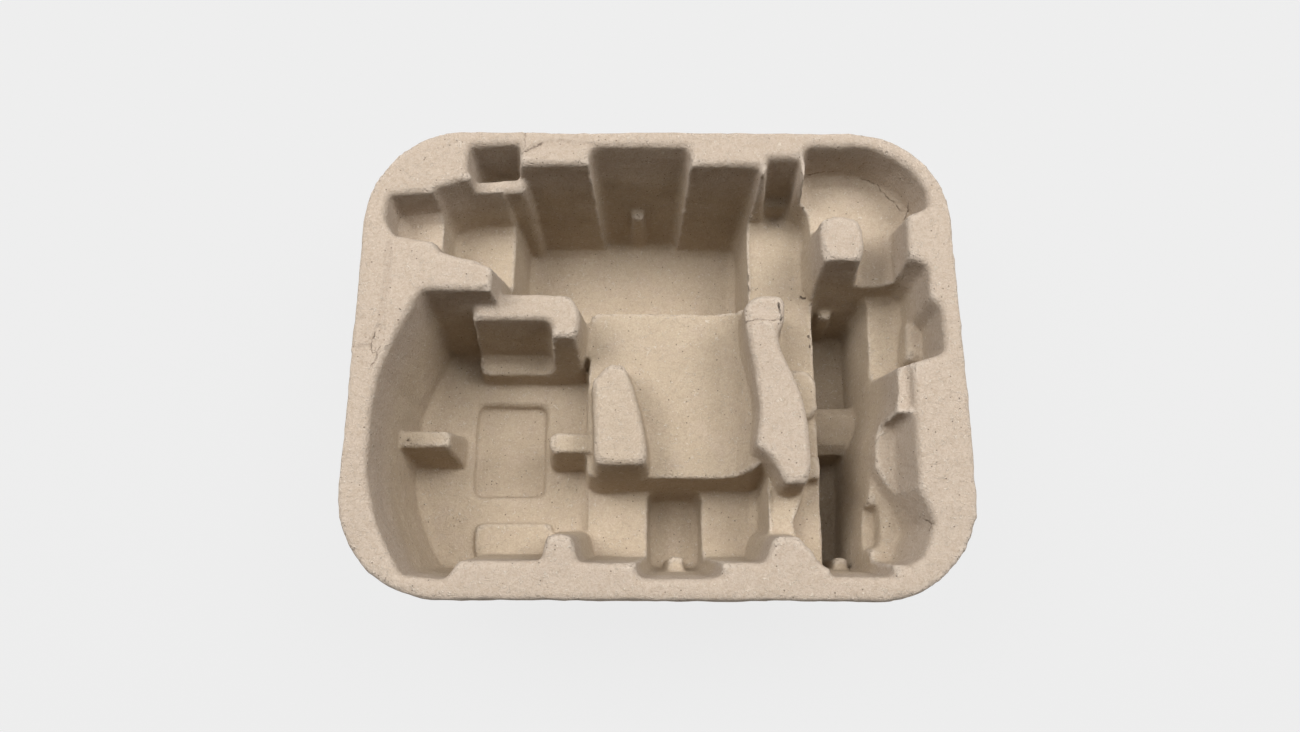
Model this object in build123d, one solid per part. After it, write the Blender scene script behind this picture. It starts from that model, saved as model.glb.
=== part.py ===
from build123d import *
from math import atan2, copysign, hypot, pi, tan
import os

# Whole tray, in millimetres
tray_length = 300.0
tray_width = 239.0
tray_height = 102.0
sheet = 2.5
rim_corner_round = 50.0
rim_edge_round = 2.4
lip_depth = 8.0
overrun = 4.0

# Softening of the edges, as the width of the slanted band
mouth_soft = 2.2
floor_soft = 4.0
block_soft = 2.2
ledge_soft = 2.0
bridge_soft = 5.0
bowl_soft = 5.0
small_soft = 1.2

# Rounding of the wall corners in plan
wall_round = 4.0
block_round = 5.0
pillar_round = 9.0
rib_round = 3.6
corner_flats = 2
corner_share = 0.45
gentle_turn_share = 0.45

# Lean of the moulded walls over the whole height, as shares of the half length and half width
wall_lean_shares = (0.048, 0.111)
main_lean_shares = (0.048, 0.064)
recess_lean_shares = (0.037, 0.119)
ledge_lean_shares = (0.17, 0.119)
channel_lean_shares = (0.068, 0.111)
ridge_lean_shares = (0.034, 0.06)
rib_lean_shares = (0.02, 0.034)

# Heights of the upper surfaces above the ground, as shares of the tray's height
left_floor_height_share = 0.196
left_dip_height_share = 0.137
left_pad_height_share = 0.235
left_shelf_height_share = 0.49
left_bay_height_share = 0.745
left_tab_height_share = 0.569
right_tab_height_share = 0.529
front_floor_height_share = 0.245
seat_height_share = 0.588
seat_side_height_share = 0.49
socket_height_share = 0.667
socket_lip_height_share = 0.853
terrace_height_share = 0.49
notch_ledge_height_share = 0.618
corner_shelf_height_share = 0.686
right_shelf_height_share = 0.529
right_step_height_share = 0.69
strip_height_share = 0.951
upper_ledge_height_share = 0.765
middle_ledge_height_share = 0.667
lower_ledge_height_share = 0.539
angle_block_height_share = 0.824
angle_recess_height_share = 0.353
cradle_height_share = 0.49
cradle_body_height_share = 0.843
wedge_height_share = 0.745
ridge_height_share = 0.863
ridge_end_height_share = 0.848
half_bump_height_share = 0.608
ridge_strip_height_share = 0.539
pillar_height_share = 0.961
bridge_height_share = 0.275
rib_height_share = 0.412

# Cradle trough across x: its bottom and the lean of its right side over the whole height, as shares of the
# half length, and the round between them
cradle_side_shares = (-0.333, 0.26)
cradle_lean_share = 0.39
cradle_round = 14.0

# Plan outlines as shares of the half length and half width, counter-clockwise
main_shares = ((-0.555, 0.08), (0.36, 0.08), (0.36, 0.84), (-0.555, 0.84))
recess_shares = ((-0.24, 0.50), (0.113, 0.50), (0.113, 0.93), (-0.24, 0.93))
left_shelf_shares = (
    (-0.573, 0.36), (-0.40, 0.33), (-0.40, 0.785), (-0.66, 0.775),
    (-0.775, 0.72), (-0.775, 0.515), (-0.735, 0.43), (-0.60, 0.385),
)
left_bay_shares = ((-0.895, 0.50), (-0.70, 0.465), (-0.70, 0.715), (-0.925, 0.695), (-0.93, 0.575))
socket_shares = ((-0.66, 0.79), (-0.48, 0.81), (-0.48, 0.94), (-0.66, 0.93))
socket_gap_shares = ((-0.65, 0.70), (-0.475, 0.71), (-0.475, 0.87), (-0.65, 0.86))
socket_lip_shares = ((-0.67, 0.75), (-0.465, 0.775), (-0.465, 0.88), (-0.67, 0.87))
terrace_shares = (
    (0.30, -0.42), (0.62, -0.42), (0.62, 0.40), (0.575, 0.40), (0.56, 0.76),
    (0.50, 0.80), (0.50, 0.88), (0.375, 0.88), (0.375, 0.80), (0.30, 0.80),
)
notch_ledge_shares = ((0.37, 0.80), (0.53, 0.80), (0.53, 0.90), (0.37, 0.90))
corner_shelf_shares = (
    (0.50, 0.30), (0.845, 0.30), (0.845, 0.60), (0.92, 0.645),
    (0.92, 0.72), (0.89, 0.80), (0.83, 0.875), (0.74, 0.935), (0.507, 0.935),
)
right_shelf_shares = (
    (0.65, -0.12), (0.79, -0.065), (0.94, -0.01), (0.94, 0.19),
    (0.905, 0.235), (0.905, 0.375), (0.85, 0.417), (0.65, 0.417),
)
right_step_shares = ((0.865, 0.04), (0.96, 0.04), (0.96, 0.225), (0.882, 0.225))
strip_shares = ((0.72, -0.26), (0.825, -0.25), (0.825, -0.045), (0.72, -0.03))
upper_ledge_shares = (
    (0.58, -0.60), (0.82, -0.60), (0.83, -0.25), (0.58, -0.25),
)
middle_ledge_shares = (
    (0.58, -0.86), (0.775, -0.87), (0.82, -0.84), (0.865, -0.70),
    (0.835, -0.595), (0.75, -0.41), (0.58, -0.41),
)
lower_ledge_shares = ((0.66, -0.78), (0.74, -0.775), (0.75, -0.59), (0.66, -0.57))
left_pocket_shares = (
    (-0.785, -0.91), (-0.65, -0.93), (-0.61, -0.855), (-0.21, -0.855), (-0.21, 0.26),
    (-0.79, 0.26), (-0.915, -0.10), (-0.92, -0.50), (-0.875, -0.71),
)
front_pocket_shares = ((-0.30, -0.86), (0.40, -0.86), (0.40, -0.30), (-0.30, -0.30))
seat_shares = ((0.36, -0.80), (0.60, -0.80), (0.60, -0.30), (0.36, -0.30))
seat_side_shares = (
    (0.455, -0.76), (0.50, -0.86), (0.56, -0.90), (0.62, -0.90), (0.62, -0.42), (0.50, -0.42),
    (0.48, -0.52), (0.435, -0.655),
)
left_tooth_shares = ((-0.36, -0.90), (-0.235, -0.90), (-0.265, -0.755), (-0.345, -0.755))
right_tooth_shares = ((0.313, -0.92), (0.533, -0.92), (0.441, -0.755), (0.363, -0.755))
angle_block_shares = (
    (-0.63, 0.10), (-0.28, 0.10), (-0.265, 0.15), (-0.265, 0.22), (-0.30, 0.295), (-0.63, 0.295),
)
angle_recess_shares = ((-0.75, -0.15), (-0.36, -0.15), (-0.36, 0.18), (-0.75, 0.18))
cradle_space_shares = ((-0.25, -0.46), (0.38, -0.46), (0.38, 0.30), (-0.25, 0.30))
cradle_body_shares = ((-0.227, -0.417), (0.35, -0.417), (0.35, 0.267), (-0.227, 0.267))
wedge_shares = (
    (-0.21, -0.44), (-0.03, -0.43), (-0.047, -0.265), (-0.087, -0.09),
    (-0.115, 0.0), (-0.165, 0.0), (-0.22, -0.075),
)
ridge_shares = (
    (0.415, -0.53), (0.485, -0.53), (0.50, -0.47), (0.50, -0.26), (0.473, -0.11), (0.407, 0.05),
    (0.41, 0.18), (0.30, 0.17), (0.34, -0.20), (0.325, -0.37), (0.385, -0.44),
)
ridge_end_shares = (
    (0.305, 0.10), (0.405, 0.10), (0.433, 0.19), (0.433, 0.285), (0.335, 0.285), (0.30, 0.24),
)
half_bump_shares = (
    (0.47, -0.205), (0.53, -0.205), (0.56, -0.17), (0.56, -0.03), (0.53, 0.015), (0.46, 0.015),
)
ridge_strip_shares = ((0.48, -0.44), (0.59, -0.44), (0.59, -0.20), (0.48, -0.20))
pillar_shares = ((0.555, 0.40), (0.70, 0.40), (0.70, 0.615), (0.555, 0.615))
left_tab_shares = ((-0.97, -0.335), (-0.72, -0.335), (-0.72, -0.265), (-0.97, -0.265))
right_tab_shares = ((-0.375, -0.35), (-0.20, -0.35), (-0.20, -0.265), (-0.375, -0.265))
left_dip_shares = ((-0.675, -0.505), (-0.41, -0.505), (-0.41, -0.07), (-0.675, -0.07))
left_pad_shares = ((-0.655, -0.79), (-0.375, -0.79), (-0.375, -0.63), (-0.655, -0.63))
channel_shares = (
    (0.532, -0.91), (0.725, -0.91), (0.745, -0.32), (0.785, -0.22), (0.80, 0.417), (0.532, 0.417),
)
deep_shares = ((-0.067, -0.92), (0.20, -0.92), (0.20, -0.40), (-0.067, -0.40))
bridge_shares = ((0.56, -0.30), (0.76, -0.30), (0.76, -0.09), (0.56, -0.09))
back_rib_shares = ((-0.10, 0.815), (-0.05, 0.815), (-0.05, 0.93), (-0.10, 0.93))
front_rib_shares = ((0.04, -0.93), (0.095, -0.93), (0.095, -0.79), (0.04, -0.79))
channel_back_rib_shares = ((0.60, 0.31), (0.65, 0.31), (0.65, 0.42), (0.60, 0.42))
channel_front_rib_shares = ((0.615, -0.92), (0.665, -0.92), (0.665, -0.79), (0.615, -0.79))


def placed(shares):
    """Plan points of an outline given in shares."""
    return [(x * tray_length / 2, y * tray_width / 2) for x, y in shares]


def level(share):
    """Height of an upper surface above the ground."""
    return tray_height * share


def spread(points, grow, rise, lean):
    """Outline with each side moved out by grow, and in by its lean over the rise."""
    lean_x, lean_y = placed([lean])[0]
    sides = []
    for (x0, y0), (x1, y1) in zip(points, points[1:] + points[:1]):
        span = hypot(x1 - x0, y1 - y0)
        nx = (y1 - y0) / span
        ny = (x0 - x1) / span
        move = grow - rise / tray_height * hypot(nx * lean_x, ny * lean_y)
        sides.append((nx, ny, nx * x0 + ny * y0 + move))
    moved = []
    for (a, b, c), (d, e, f) in zip(sides[-1:] + sides[:-1], sides):
        cross = a * e - b * d
        moved.append(((c * e - b * f) / cross, (a * f - c * d) / cross))
    return moved


def corner_reach(rings, i, radius, grow):
    """How far the round of one corner runs along its two sides, the same at every level."""
    room = tray_length
    for ring in rings:
        before, here, after = ring[i - 1], ring[i], ring[(i + 1) % len(ring)]
        way_in = (here[0] - before[0], here[1] - before[1])
        way_out = (after[0] - here[0], after[1] - here[1])
        room = min(room, hypot(*way_in) * corner_share, hypot(*way_out) * corner_share)
    across = way_in[0] * way_out[1] - way_in[1] * way_out[0]
    along = way_in[0] * way_out[0] + way_in[1] * way_out[1]
    turn = atan2(across, along)
    if abs(turn) < gentle_turn_share * pi / 2:
        return room
    return min(max(radius + copysign(grow, turn), 0) * tan(abs(turn) / 2), room)


def softened(ring, reach):
    """Outline with each corner turned into short flats that follow a round."""
    points = []
    for i, (x, y) in enumerate(ring):
        ends = []
        for px, py in (ring[i - 1], ring[(i + 1) % len(ring)]):
            part = reach[i] / hypot(px - x, py - y)
            ends.append(((px - x) * part, (py - y) * part))
        (ax, ay), (bx, by) = ends
        for step in range(corner_flats + 1):
            after = step / corner_flats
            near, far = (1 - after) ** 2, after ** 2
            points.append((x + near * ax + far * bx, y + near * ay + far * by))
    return points


def stack(rings, radius, grow):
    """Flat-sided solid through outlines with parallel sides, from the lowest up, its corners rounded."""
    outlines = [ring for ring, z in rings]
    reach = [corner_reach(outlines, i, radius, grow) for i in range(len(outlines[0]))]
    loops = [[(x, y, z) for x, y in softened(ring, reach)] for ring, z in rings]
    faces = [Face(Wire.make_polygon(loops[0])), Face(Wire.make_polygon(loops[-1]))]
    for low, high in zip(loops, loops[1:]):
        for i in range(len(low)):
            j = i - 1
            faces.append(Face(Wire.make_polygon([low[j], low[i], high[i], high[j]])))
    return Solid(Shell(faces))


def pocket(shares, floor, grow, ceiling, mouth=tray_height, lean=wall_lean_shares, soft=floor_soft,
           radius=wall_round):
    """Space of one pocket: leaning walls, softened floor edge and flared mouth."""
    points = placed(shares)
    base = floor - grow
    brim = mouth - grow
    wall = spread(points, grow, mouth - floor - soft, lean)
    foot = spread(points, grow - soft, mouth - floor - soft, lean)
    neck = spread(points, grow, mouth_soft, lean)
    flare = spread(points, grow + mouth_soft, mouth_soft, lean)
    rings = [(foot, base), (wall, base + soft), (neck, brim - mouth_soft), (flare, brim), (flare, ceiling)]
    return stack(rings, radius, grow)


def block(shares, top, grow, lean=wall_lean_shares, soft=block_soft, radius=block_round):
    """Raised block: softened top edge and walls that spread down to the ground."""
    points = placed(shares)
    crown = spread(points, -grow - soft, -soft, lean)
    shoulder = spread(points, -grow, -soft, lean)
    root = spread(points, -grow, grow - top - overrun, lean)
    return stack([(root, -overrun), (shoulder, top - grow - soft), (crown, top - grow)], radius, -grow)


def pockets(grow, ceiling):
    """Spaces that open through the rim."""
    deep = (
        (left_shelf_shares, left_shelf_height_share),
        (terrace_shares, terrace_height_share),
        (right_shelf_shares, right_shelf_height_share),
        (left_pocket_shares, left_floor_height_share),
        (front_pocket_shares, front_floor_height_share),
        (cradle_space_shares, cradle_height_share),
    )
    seats = ((seat_shares, seat_height_share), (seat_side_shares, seat_side_height_share))
    bowls = ((left_bay_shares, left_bay_height_share), (corner_shelf_shares, corner_shelf_height_share))
    small = ((socket_gap_shares, socket_lip_height_share), (strip_shares, strip_height_share))
    ledges = (
        (upper_ledge_shares, upper_ledge_height_share),
        (middle_ledge_shares, middle_ledge_height_share),
    )
    spaces = [
        pocket(main_shares, sheet, grow, ceiling, lean=main_lean_shares),
        pocket(recess_shares, sheet, grow, ceiling, lean=recess_lean_shares),
    ]
    spaces += [pocket(shares, level(height), grow, ceiling) for shares, height in deep]
    spaces += [pocket(shares, level(height), grow, ceiling, soft=ledge_soft) for shares, height in seats]
    spaces += [pocket(shares, level(height), grow, ceiling, soft=bowl_soft) for shares, height in bowls]
    spaces += [pocket(shares, level(height), grow, ceiling, soft=small_soft) for shares, height in small]
    spaces += [
        pocket(shares, level(height), grow, ceiling, lean=ledge_lean_shares, soft=ledge_soft)
        for shares, height in ledges
    ]
    return spaces[0].fuse(*spaces[1:])


def raised(grow):
    """Blocks that stand up inside the pockets."""
    plan = (
        (notch_ledge_shares, notch_ledge_height_share),
        (right_step_shares, right_step_height_share),
        (cradle_body_shares, cradle_body_height_share),
    )
    teeth = (left_tooth_shares, right_tooth_shares)
    made = [block(shares, level(height), grow) for shares, height in plan]
    made += [block(shares, tray_height, grow) for shares in teeth]
    made.append(block(pillar_shares, level(pillar_height_share), grow, radius=pillar_round))
    made.append(block(socket_lip_shares, level(socket_lip_height_share), grow, rib_lean_shares))
    made.append(block(left_tab_shares, level(left_tab_height_share), grow, soft=small_soft))
    return made


def trough(grow):
    """Space of the cradle along y: flat bottom, round and leaning on the right."""
    left, right = (share * tray_length / 2 for share in cradle_side_shares)
    slope = cradle_lean_share * tray_length / 2 / tray_height
    left -= grow
    right += grow * (hypot(1, slope) - slope)
    low = level(cradle_height_share) - grow
    high = tray_height - sheet
    with BuildSketch(Plane.XZ) as section:
        Polygon((left, low), (right, low), (right + slope * (high - low), high), (left, high), align=None)
        corner = section.vertices().sort_by(Axis.Y)[:2].sort_by(Axis.X)[-1]
        fillet(corner, cradle_round + grow)
    return extrude(section.sketch, tray_width / 4, both=True).solid()


def middle(grow):
    """Blocks round the cradle, put up after its trough is cut."""
    plan = (
        (angle_block_shares, angle_block_height_share),
        (wedge_shares, wedge_height_share),
        (half_bump_shares, half_bump_height_share),
        (ridge_strip_shares, ridge_strip_height_share),
    )
    ridge = ((ridge_shares, ridge_height_share), (ridge_end_shares, ridge_end_height_share))
    made = [block(shares, level(height), grow) for shares, height in plan]
    made.append(block(right_tab_shares, level(right_tab_height_share), grow, soft=small_soft))
    return made + [block(shares, level(height), grow, lean=ridge_lean_shares) for shares, height in ridge]


def inner_pockets(grow, ceiling):
    """Spaces sunk into floors, ledges and blocks, and the two that cut down to the ground."""
    sunk = (
        (angle_recess_shares, angle_recess_height_share, angle_block_height_share, floor_soft),
        (left_dip_shares, left_dip_height_share, left_floor_height_share, small_soft),
        (lower_ledge_shares, lower_ledge_height_share, middle_ledge_height_share, small_soft),
    )
    made = [
        pocket(shares, level(floor), grow, level(mouth) + overrun, mouth=level(mouth), soft=soft)
        for shares, floor, mouth, soft in sunk
    ]
    made.append(pocket(socket_shares, level(socket_height_share), grow, ceiling, soft=small_soft))
    made.append(pocket(deep_shares, sheet, grow, ceiling))
    made.append(pocket(channel_shares, sheet, grow, ceiling, lean=channel_lean_shares))
    return made


def floor_pieces(grow):
    """Low pieces that stand on the floors."""
    bridge = block(bridge_shares, level(bridge_height_share), grow, soft=bridge_soft)
    return [bridge, block(left_pad_shares, level(left_pad_height_share), grow, soft=small_soft)]


def ribs():
    """Small solid ribs that keep stacked trays apart."""
    plan = (back_rib_shares, front_rib_shares, channel_back_rib_shares, channel_front_rib_shares)
    height = level(rib_height_share)
    return [block(shares, height, 0, rib_lean_shares, small_soft, rib_round) for shares in plan]


def hollow(grow, ceiling):
    """All the space above the moulded sheet, grown by the given distance."""
    space = pockets(grow, ceiling).cut(*raised(grow))
    space = space.fuse(trough(grow)).cut(*middle(grow))
    return space.fuse(*inner_pockets(grow, ceiling)).cut(*floor_pieces(grow))


def rim():
    """Flat rim over the whole tray with its turned-down lip."""
    outer = extrude(RectangleRounded(tray_length, tray_width, rim_corner_round), lip_depth)
    outer = fillet(outer.edges().group_by(Axis.Z)[-1], rim_edge_round)
    under = RectangleRounded(tray_length - sheet * 2, tray_width - sheet * 2, rim_corner_round - sheet)
    inner = extrude(under, lip_depth - sheet)
    return Pos(0, 0, tray_height - lip_depth) * (outer - inner)


def tray():
    body = rim().solid().fuse(hollow(sheet, tray_height - sheet / 2))
    return body.cut(hollow(0, tray_height + overrun).cut(*ribs()))


os.makedirs("parts", exist_ok=True)
part = tray()
part.label = "pulp_tray"
export_step(part, "parts/pulp_tray.step")
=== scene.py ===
import math
import bmesh
import bpy
import numpy as np
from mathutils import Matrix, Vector, noise as patches


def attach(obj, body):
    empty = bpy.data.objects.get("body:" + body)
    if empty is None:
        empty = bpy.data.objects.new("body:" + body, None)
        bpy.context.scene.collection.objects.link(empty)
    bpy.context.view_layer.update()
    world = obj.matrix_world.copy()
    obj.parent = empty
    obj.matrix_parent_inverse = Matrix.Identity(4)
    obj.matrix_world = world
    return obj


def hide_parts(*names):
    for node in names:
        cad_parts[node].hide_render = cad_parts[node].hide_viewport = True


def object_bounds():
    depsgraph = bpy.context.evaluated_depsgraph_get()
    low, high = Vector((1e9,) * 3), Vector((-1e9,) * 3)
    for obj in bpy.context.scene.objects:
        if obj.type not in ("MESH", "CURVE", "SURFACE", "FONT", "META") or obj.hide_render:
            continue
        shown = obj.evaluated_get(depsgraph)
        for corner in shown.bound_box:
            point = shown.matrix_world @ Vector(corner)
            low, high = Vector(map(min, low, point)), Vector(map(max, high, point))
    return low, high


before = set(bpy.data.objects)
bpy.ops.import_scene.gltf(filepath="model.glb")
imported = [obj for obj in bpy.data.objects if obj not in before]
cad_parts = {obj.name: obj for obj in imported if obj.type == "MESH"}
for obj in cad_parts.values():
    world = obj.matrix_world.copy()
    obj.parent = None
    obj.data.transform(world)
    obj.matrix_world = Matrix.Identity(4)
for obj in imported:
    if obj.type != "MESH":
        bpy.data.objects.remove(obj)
cad_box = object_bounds()


# The tray is one sheet of paper fibre, pressed wet on a mould and dried in one piece. Every edge is
# softly rounded, because wet fibre doesn't fill a sharp corner. The surface is matt, with short
# fibres, specks and paler edges, and use has left folds, cracks and torn fibres. The paler edges are
# partly worn fibre and partly painted highlight. The colour also carries painted shade in the hollows,
# folds, cracks and tears, and painted light on the upper surfaces.

grid = 0.0011
smoothing_passes = 5
swell_lengths_and_depths = ((0.045, 0.0006), (0.014, 0.0004), (0.0055, 0.00026))
most_faces = 165000

fold_reach = 0.0026
fold_depth = 0.0006
fold_width = 0.0028
crack_width = 0.00055
tear_width = 0.0009
tear_reach = 0.002
line_reach = 0.0016
tear_line_reach = 0.0005
longest_marked_edge = 0.0009
longest_torn_edge = 0.0004
edge_fray_length = 0.0022
edge_fray_depth = 0.0006
tear_fray_length = 0.0011
tear_fray_depth = 0.0011
edge_fray_start = 0.56
edge_fray_range = 0.2
sharpest_bend = 600.0
relief_depth = 0.0008

dull_pulp = (0.392, 0.315, 0.228, 1)
bright_pulp = (0.432, 0.352, 0.259, 1)
rosy_pulp = (0.421, 0.337, 0.266, 1)
# Paler pulp painted on the upper surfaces as painted light, so that high places look brighter than deep ones
painted_light_upper_pulp = (0.416, 0.343, 0.283, 1)
felt_brown = (0.331, 0.259, 0.192, 1)
pore_brown = (0.27, 0.206, 0.148, 1)
grain_pale = (0.56, 0.475, 0.385, 1)
# Darker brown painted into hollows and concave creases: painted shade
hollow_painted_shade = (0.288, 0.216, 0.154, 1)
# Paler colour on convex edges: partly worn fibre, partly painted highlight
worn_pale_and_painted_highlight = (0.518, 0.446, 0.374, 1)
hair_pale = (0.56, 0.49, 0.41, 1)
speck_pale = (0.57, 0.5, 0.42, 1)
speck_dark = (0.12, 0.09, 0.066, 1)
chip_brown = (0.2, 0.15, 0.11, 1)
# Darker brown painted along the folds: painted shade in the crease, beside the real pressed groove
fold_painted_shade = (0.26, 0.2, 0.15, 1)
# Dark brown painted along the cracks, the ridge crease and the ledge nick: painted shade inside them
crack_painted_shade = (0.12, 0.085, 0.06, 1)
# Near black painted at the torn corner, the slit under the ridge flap and the channel pits: painted shadow
tear_painted_shadow = (0.06, 0.045, 0.035, 1)

# Courses of the marks in millimetres from the middle of the tray's foot
rim_top = cad_box[1][2] * 1000
left_rim_fold = (
    (-135.5, 54.0, rim_top), (-135.5, 37.0, rim_top), (-136.0, 21.0, rim_top),
    (-136.5, 11.5, rim_top), (-139.5, 3.5, rim_top),
)
left_rim_crease = ((-147.0, -0.5, rim_top), (-140.0, 0.5, rim_top))
back_rim_crack = ((-70.0, 107.5, rim_top), (-64.5, 109.5, rim_top), (-62.5, 111.0, rim_top))
back_rim_fold = back_rim_crack + (
    (-55.0, 113.0, rim_top), (-48.5, 112.5, rim_top), (-41.0, 112.0, rim_top), (-36.0, 111.5, rim_top),
)
folds = (left_rim_fold, left_rim_crease, back_rim_fold)

left_rim_cracks = (
    ((-139.0, 5.5, rim_top), (-140.0, 1.0, rim_top), (-139.5, -1.5, rim_top)),
    ((-136.0, -1.0, rim_top), (-137.0, -5.0, rim_top), (-138.5, -8.0, rim_top)),
)
socket_crack = ((-69.5, 118.0, rim_top), (-69.5, 111.5, rim_top))
corner_pocket_cracks = (
    ((84.5, 108.5, 76.0), (90.0, 108.5, 78.0), (95.0, 108.5, 78.5)),
    ((114.0, 105.5, 74.5), (120.0, 103.0, 75.0), (122.0, 99.5, 73.0),
     (127.0, 95.0, 73.0), (131.5, 89.5, 73.0)),
    ((134.5, 88.5, 78.5), (134.0, 85.0, 73.5)),
)
ledge_nick = ((127.5, -82.0, 95.0), (128.5, -84.0, 98.5), (128.0, -85.5, 98.0))
ridge_crease = ((45.5, 20.0, 84.5), (50.0, 20.5, 86.5), (55.5, 20.0, 87.0), (61.0, 20.5, 86.5))
cracks = left_rim_cracks + (back_rim_crack, socket_crack) + corner_pocket_cracks + (ledge_nick, ridge_crease)

frayed_corner = ((79.5, 46.5, 51.0), (80.5, 45.5, 51.5), (81.5, 45.0, 53.0))
ridge_slit = ((62.0, 29.5, 86.5), (62.5, 25.0, 86.0), (63.0, 21.0, 85.5))
channel_pits = (((83.0, 24.0, 50.0), (83.0, 23.5, 50.0)), ((83.5, 18.5, 50.0), (83.5, 18.0, 50.0)))
tears = (frayed_corner, ridge_slit) + channel_pits


def settle(tray):
    """Puts the result of an object's modifiers into its mesh."""
    view = bpy.context.evaluated_depsgraph_get()
    mesh = bpy.data.meshes.new_from_object(tray.evaluated_get(view))
    tray.modifiers.clear()
    tray.data = mesh


def soft_copy(node, name):
    """A copy of a CAD node with all its edges rounded, as wet pulp leaves them."""
    tray = bpy.data.objects.new(name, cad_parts[node].data.copy())
    bpy.context.scene.collection.objects.link(tray)
    remesh = tray.modifiers.new("remesh", "REMESH")
    remesh.mode = "VOXEL"
    remesh.voxel_size = grid
    smooth = tray.modifiers.new("smooth", "SMOOTH")
    smooth.factor = 0.5
    smooth.iterations = smoothing_passes
    settle(tray)
    return tray


def uneven(mesh):
    """Moves the skin in and out a little, so that no wall is quite flat and no edge quite straight."""
    moves = []
    for vertex in mesh.vertices:
        push = sum(depth * patches.noise(vertex.co / length) for length, depth in swell_lengths_and_depths)
        moves.append(vertex.co + vertex.normal * push)
    for vertex, spot in zip(mesh.vertices, moves):
        vertex.co = (spot.x, spot.y, max(spot.z, 0.0))


def thin_out(tray):
    """Takes out the triangles that matter least until few enough are left."""
    count = sum(len(polygon.vertices) - 2 for polygon in tray.data.polygons)
    thin = tray.modifiers.new("thin", "DECIMATE")
    thin.ratio = min(1.0, most_faces / count)
    settle(tray)


def nearest_line(spots, lines, facing=None):
    """How far each spot is from the nearest line, and how far to the line's left or right."""
    nearest = np.full(len(spots), np.inf)
    side = np.zeros(len(spots))
    for line in lines:
        bends = np.array(line) / 1000
        for start, end in zip(bends, bends[1:]):
            along = end - start
            reach = spots - start
            share = np.clip(reach @ along / (along @ along), 0.0, 1.0)
            gap = np.linalg.norm(reach - share[:, None] * along, axis=1)
            closer = gap < nearest
            nearest[closer] = gap[closer]
            if facing is not None:
                across = np.cross(along / np.linalg.norm(along), facing[closer])
                side[closer] = (reach[closer] * across).sum(axis=1)
    return nearest, side


def split_near(mesh, lines, reach, longest):
    """Splits the faces beside the lines until their edges are short enough to carry a fine mark."""
    body = bmesh.new()
    body.from_mesh(mesh)
    for turn in range(4):
        edges = [edge for edge in body.edges if edge.calc_length() > longest]
        middles = np.array([(edge.verts[0].co + edge.verts[1].co) / 2 for edge in edges])
        gaps = nearest_line(middles, lines)[0]
        close = [edge for edge, gap in zip(edges, gaps) if gap < reach + edge.calc_length() / 2]
        bmesh.ops.subdivide_edges(body, edges=close, cuts=1)
        bmesh.ops.triangulate(body, faces=[face for face in body.faces if len(face.verts) > 3])
    body.to_mesh(mesh)
    body.free()


def vertex_table(mesh, value):
    """One value of three numbers of every vertex, as rows."""
    table = np.empty(len(mesh.vertices) * 3)
    mesh.vertices.foreach_get(value, table)
    return table.reshape(-1, 3)


def put_back(mesh, spots):
    """Sets every vertex to its new spot, none of them below the ground."""
    spots[:, 2] = np.maximum(spots[:, 2], 0.0)
    mesh.vertices.foreach_set("co", spots.ravel())
    mesh.update()


def vertex_mark(mesh, name, values):
    """Keeps one number for each vertex, for the material to read."""
    mark = mesh.attributes.new(name, "FLOAT", "POINT")
    mark.data.foreach_set("value", values.astype(np.float32))


def mark_lines(mesh, name, lines, reach):
    """Marks each vertex by how far to the side of the nearest line it lies, and whether it is near one."""
    nearest, side = nearest_line(vertex_table(mesh, "co"), lines, vertex_table(mesh, "normal"))
    vertex_mark(mesh, name + "_side", side)
    vertex_mark(mesh, name + "_near", np.clip(2.0 - nearest / reach, 0.0, 1.0))


def press(mesh, strength, depth):
    """Sinks the skin by a share of the depth, as a crease does."""
    put_back(mesh, vertex_table(mesh, "co") - vertex_table(mesh, "normal") * (strength * depth)[:, None])


def fray(mesh, strength, length, depth):
    """Roughens the skin where the strength is above 0, as loose fibres do along an edge or a tear."""
    spots = vertex_table(mesh, "co")
    facing = vertex_table(mesh, "normal")
    for index in np.flatnonzero(strength):
        push = strength[index] * depth * patches.noise(Vector(spots[index] / length))
        spots[index] += facing[index] * push
    put_back(mesh, spots)


def edge_strength(mesh):
    """How far each vertex stands out from its neighbours: above 0.5 on a ridge, below in a hollow."""
    count = len(mesh.vertices)
    spots = vertex_table(mesh, "co")
    facing = vertex_table(mesh, "normal")
    ends = np.empty(len(mesh.edges) * 2, dtype=np.int64)
    mesh.edges.foreach_get("vertices", ends)
    a, b = ends.reshape(-1, 2).T
    near = np.zeros(count)
    np.add.at(near, a, 1.0)
    np.add.at(near, b, 1.0)
    span = np.linalg.norm(spots[a] - spots[b], axis=1)
    tilt = np.einsum("ij,ij->i", facing[a] - facing[b], spots[a] - spots[b]) / np.maximum(span ** 2, 1e-9)
    bend = np.zeros(count)
    np.add.at(bend, a, tilt)
    np.add.at(bend, b, tilt)
    bend /= np.maximum(near, 1.0)
    for turn in range(2):
        total = np.zeros(count)
        np.add.at(total, a, bend[b])
        np.add.at(total, b, bend[a])
        bend = (bend + total / np.maximum(near, 1.0)) / 2
    return np.clip(0.5 + bend / sharpest_bend, 0.0, 1.0)


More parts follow.
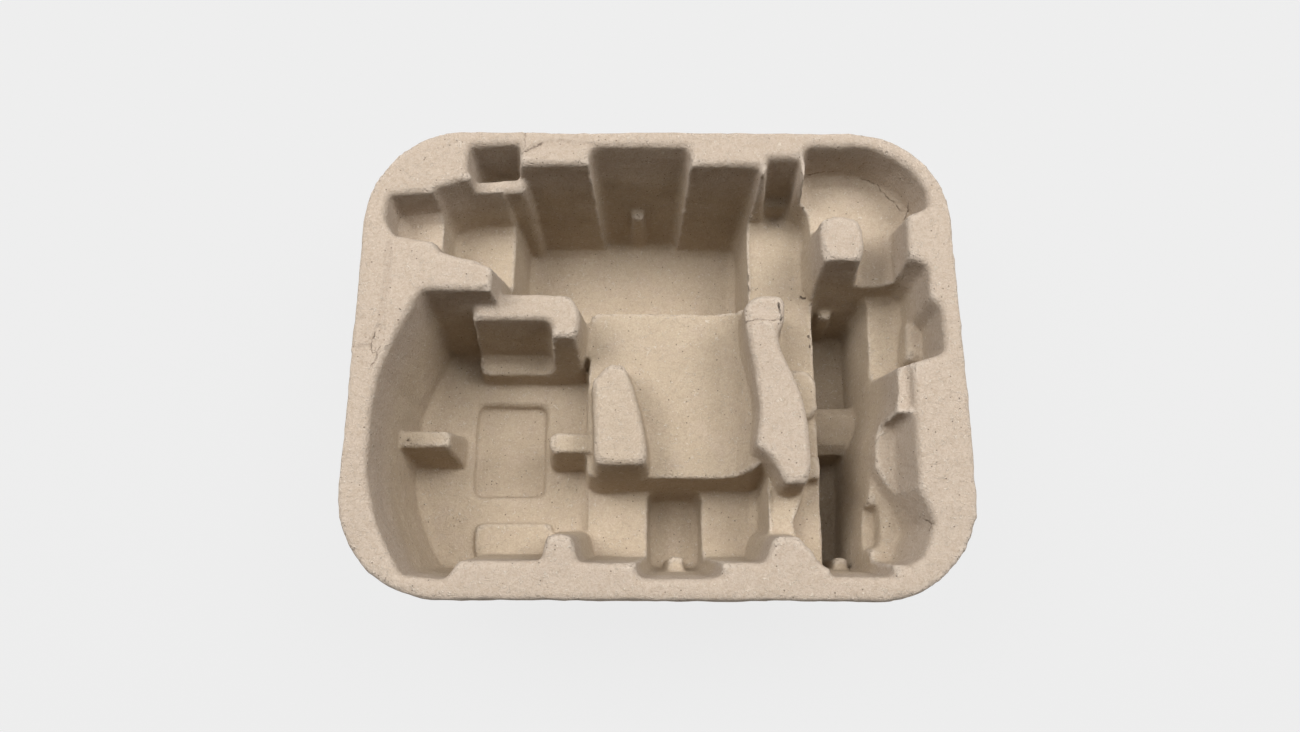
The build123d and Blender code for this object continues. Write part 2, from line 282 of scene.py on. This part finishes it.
tray = soft_copy("pulp_tray", "tray_pulp")
uneven(tray.data)
thin_out(tray)
split_near(tray.data, folds + cracks, fold_reach, longest_marked_edge)
split_near(tray.data, tears, tear_reach, longest_torn_edge)
for polygon in tray.data.polygons:
    polygon.use_smooth = True
edges = edge_strength(tray.data)
vertex_mark(tray.data, "edge", edges)
mark_lines(tray.data, "fold", folds, line_reach)
mark_lines(tray.data, "crack", cracks, line_reach)
mark_lines(tray.data, "tear", tears, tear_line_reach)
fold_gap = nearest_line(vertex_table(tray.data, "co"), folds)[0]
tear_gap = nearest_line(vertex_table(tray.data, "co"), tears)[0]
press(tray.data, np.clip(1.0 - fold_gap / fold_reach, 0.0, 1.0) ** 2, fold_depth)
rough_edges = np.clip((edges - edge_fray_start) / edge_fray_range, 0.0, 1.0)
fray(tray.data, rough_edges, edge_fray_length, edge_fray_depth)
fray(tray.data, np.clip(1.0 - tear_gap / tear_reach, 0.0, 1.0), tear_fray_length, tear_fray_depth)


class Plug:
    """One socket of a material, so that sums of sockets read as plain arithmetic."""

    def __init__(self, tree, socket=None):
        self.tree = tree
        self.socket = socket

    def node(self, kind, inputs=None, out=0, **settings):
        made = self.tree.nodes.new(kind)
        for key, value in settings.items():
            setattr(made, key, value)
        for key, value in (inputs or {}).items():
            if isinstance(value, Plug):
                self.tree.links.new(value.socket, made.inputs[key])
            else:
                made.inputs[key].default_value = value
        return Plug(self.tree, made.outputs[out] if made.outputs else None)

    def maths(self, operation, a, b=0.0):
        return self.node("ShaderNodeMath", {0: a, 1: b}, operation=operation)

    def __add__(self, other):
        return self.maths("ADD", self, other)

    def __radd__(self, other):
        return self.maths("ADD", other, self)

    def __sub__(self, other):
        return self.maths("SUBTRACT", self, other)

    def __rsub__(self, other):
        return self.maths("SUBTRACT", other, self)

    def __mul__(self, other):
        return self.maths("MULTIPLY", self, other)

    def __rmul__(self, other):
        return self.maths("MULTIPLY", other, self)

    def step(self, low, high):
        """0 below low, 1 above high, and a smooth change between them."""
        inputs = {"Value": self, "From Min": low, "From Max": high}
        return self.node("ShaderNodeMapRange", inputs, interpolation_type="SMOOTHSTEP")

    def tint(self, colour, other):
        """The colour at 0 and the other one at 1."""
        inputs = {"Factor": self, "A": colour, "B": other}
        return self.node("ShaderNodeMix", inputs, "Result", data_type="RGBA")


def blank(owner):
    """The empty node tree of a material or a room, to add nodes to."""
    owner.use_nodes = True
    owner.node_tree.nodes.clear()
    return Plug(owner.node_tree)


def noise(place, scale, detail=3.0, rough=0.55, warp=0.0):
    """Soft random patches, with about scale of them to a metre."""
    return place.node("ShaderNodeTexNoise", {
        "Vector": place, "Scale": scale, "Detail": detail, "Roughness": rough, "Distortion": warp})


def specks(place, spacing, size, share):
    """Small round specks about spacing apart, on a share of the places that could have one."""
    cells = {"Vector": place, "Scale": 1 / spacing}
    gap = place.node("ShaderNodeTexVoronoi", cells, "Distance")
    pick = place.node("ShaderNodeTexVoronoi", cells, "Color")
    luck = place.node("ShaderNodeSeparateColor", {"Color": pick}, "Red")
    reach = size / spacing
    return (1.0 - gap.step(reach * 0.5, reach)) * (1.0 - luck.step(share, share + 0.02))


def fibres(place, scale, width):
    """Short thin curved hairs that lie in all directions."""
    wave = noise(place, scale, 1.0, 0.5, 0.6)
    line = 1.0 - place.maths("ABSOLUTE", wave - 0.5).step(0.0, width)
    broken = noise(place, scale * 0.9, 2.0).step(0.52, 0.6)
    return line * broken


def drawn(place, name, width, stray):
    """1 on the lines of this name and 0 farther off than the width, with a ragged course."""
    side = place.node("ShaderNodeAttribute", out="Fac", attribute_name=name + "_side") + stray
    near = place.node("ShaderNodeAttribute", out="Fac", attribute_name=name + "_near")
    return (1.0 - place.maths("ABSOLUTE", side).step(width * 0.25, width)) * near


pulp = bpy.data.materials.new("pulp")
start = blank(pulp)
place = start.node("ShaderNodeTexCoord", out="Object")
edge = start.node("ShaderNodeAttribute", out="Fac", attribute_name="edge")
grain = noise(place, 1000.0, 4.0, 0.7)
felt = noise(place, 420.0, 3.0, 0.6, 0.8)
cloud = noise(place, 38.0, 3.0, 0.6)
blush = noise(place, 90.0, 2.0, 0.5)
hairs = fibres(place, 330.0, 0.03)
dark = specks(place, 0.0032, 0.00048, 0.42)
pale = specks(place, 0.0026, 0.0005, 0.3)
# Share of the painted light on the upper surfaces: none below 60 mm, full above 90 mm
high = start.node("ShaderNodeSeparateXYZ", {0: place}, "Z").step(0.06, 0.09)
stray = (noise(place, 300.0, 2.0) - 0.5) * 0.003
fold = drawn(place, "fold", fold_width, stray) * (0.5 + 0.5 * felt.step(0.3, 0.7))
crack = drawn(place, "crack", crack_width, stray) * (0.4 + felt.step(0.35, 0.7))
tear = drawn(place, "tear", tear_width, stray * 0.5)
crest = edge.step(0.56, 0.8)
# Concave places, which get the painted shade
hollow = 1.0 - edge.step(0.25, 0.46)
chip = crest * noise(place, 650.0, 2.0).step(0.56, 0.68)
layers = (
    (blush.step(0.45, 0.8) * 0.5, rosy_pulp),
    # upper surfaces painted paler: painted light
    (high * 0.75, painted_light_upper_pulp),
    (felt.step(0.38, 0.72) * 0.55, felt_brown),
    ((1.0 - grain.step(0.28, 0.52)) * 0.38, pore_brown),
    (grain.step(0.5, 0.74) * 0.34, grain_pale),
    # painted shade in the hollows
    (hollow * 0.18, hollow_painted_shade),
    # convex edges paler: worn fibre and painted highlight
    (crest * (0.1 + 0.6 * grain), worn_pale_and_painted_highlight),
    (hairs * 0.7, hair_pale),
    (pale * 0.6, speck_pale),
    (dark * 0.85, speck_dark),
    (chip * 0.35, chip_brown),
    # painted shade along the folds
    (fold * 0.22, fold_painted_shade),
    # painted shade in the cracks, crease and nick
    (crack * 0.5, crack_painted_shade),
    # painted shadow at the tears and pits
    (tear * 0.75, tear_painted_shadow),
)
colour = cloud.step(0.25, 0.75).tint(dull_pulp, bright_pulp)
for share, tone in layers:
    colour = share.tint(colour, tone)
relief = grain * 0.9 + felt * 0.7 + hairs * 0.4 + pale * 0.3 - dark * 0.3
relief = relief - chip * 0.8 - fold * 0.6 - crack * 0.8 - tear * 1.2
bump = start.node("ShaderNodeBump", {"Strength": 0.8, "Distance": relief_depth, "Height": relief})
shader = start.node("ShaderNodeBsdfPrincipled", {
    "Base Color": colour, "Roughness": 0.95, "Specular IOR Level": 0.12, "Normal": bump})
start.node("ShaderNodeOutputMaterial", {"Surface": shader})
tray.data.materials.clear()
tray.data.materials.append(pulp)
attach(tray, "root")
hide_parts("pulp_tray")


# The floor is a plain pale studio sheet. It looks evenly lit to the camera, with only a faint
# shadow of the tray, and gives back light from below as white paper does.

floor_size = 30.0
sheet_white = (0.8, 0.8, 0.8, 1)
seen_white = 0.838
seen_share = 0.97

bpy.ops.mesh.primitive_plane_add(size=floor_size)
floor = bpy.context.object
floor.name = "floor"
floor_paper = bpy.data.materials.new("pale_floor")
start = blank(floor_paper)
seen = start.node("ShaderNodeLightPath", out="Is Camera Ray")
plain = start.node("ShaderNodeBsdfDiffuse", {"Color": sheet_white})
even = start.node("ShaderNodeEmission", {"Color": (seen_white, seen_white, seen_white, 1)})
mixed = start.node("ShaderNodeMixShader", {0: seen * seen_share, 1: plain, 2: even})
start.node("ShaderNodeOutputMaterial", {"Surface": mixed})
floor.data.materials.append(floor_paper)


# The studio light is four soft lamps: two above and behind the tray, with a gap between them
# that leaves the deep narrow places dark, and one at each side. The room is nearly dark, but
# looks as pale as the floor where the camera sees it.

aim_height = 0.1
top_panel = (0.95, 0.9)
top_reach = 0.68
top_back = 0.42
top_height = 1.5
side_panel = (0.7, 0.7)
side_power = 9.8
side_reach = 0.9
side_back = 0.25
side_height = 1.15
room_light = 0.03
white = (1, 1, 1, 1)


def soft_lamp(name, size, power, spot, aim):
    """A rectangular lamp at the spot, turned to the aim."""
    lamp = bpy.data.lights.new(name, "AREA")
    lamp.shape = "RECTANGLE"
    lamp.size, lamp.size_y = size
    lamp.energy = power
    holder = bpy.data.objects.new(name, lamp)
    bpy.context.scene.collection.objects.link(holder)
    holder.location = spot
    holder.rotation_euler = (Vector(aim) - Vector(spot)).to_track_quat("-Z", "Y").to_euler()


for side, name, top_power in ((-1, "left", 18.3), (1, "right", 18.7)):
    top_spot = (side * top_reach, top_back, top_height)
    soft_lamp("top_" + name + "_lamp", top_panel, top_power, top_spot, (side * top_reach, 0.0, aim_height))
    side_spot = (side * side_reach, side_back, side_height)
    soft_lamp(name + "_lamp", side_panel, side_power, side_spot, (0.0, 0.0, aim_height))

room = bpy.data.worlds.new("room")
start = blank(room)
seen = start.node("ShaderNodeLightPath", out="Is Camera Ray")
dim_room = start.node("ShaderNodeBackground", {"Color": white, "Strength": room_light})
pale_room = start.node("ShaderNodeBackground", {"Color": white, "Strength": seen_white})
mixed = start.node("ShaderNodeMixShader", {0: seen, 1: dim_room, 2: pale_room})
start.node("ShaderNodeOutputWorld", {"Surface": mixed})
bpy.context.scene.world = room
bpy.context.scene.view_settings.view_transform = "Standard"


# The camera looks down steeply from the front, as in the photograph. Its height, tilt and lens
# are those at which the rim's outline fits the photograph's.

sensor_width = 36.0
lens_length = 26.72
camera_spot = (-0.003718, -0.141326, 0.55159)
camera_tilt = math.radians(16.435)
camera_turn = math.radians(0.28)

lens = bpy.data.cameras.new("camera")
lens.sensor_width = sensor_width
lens.lens = lens_length
camera = bpy.data.objects.new("camera", lens)
bpy.context.scene.collection.objects.link(camera)
camera.location = camera_spot
camera.rotation_mode = "ZYX"
camera.rotation_euler = (camera_tilt, 0.0, camera_turn)
bpy.context.scene.camera = camera
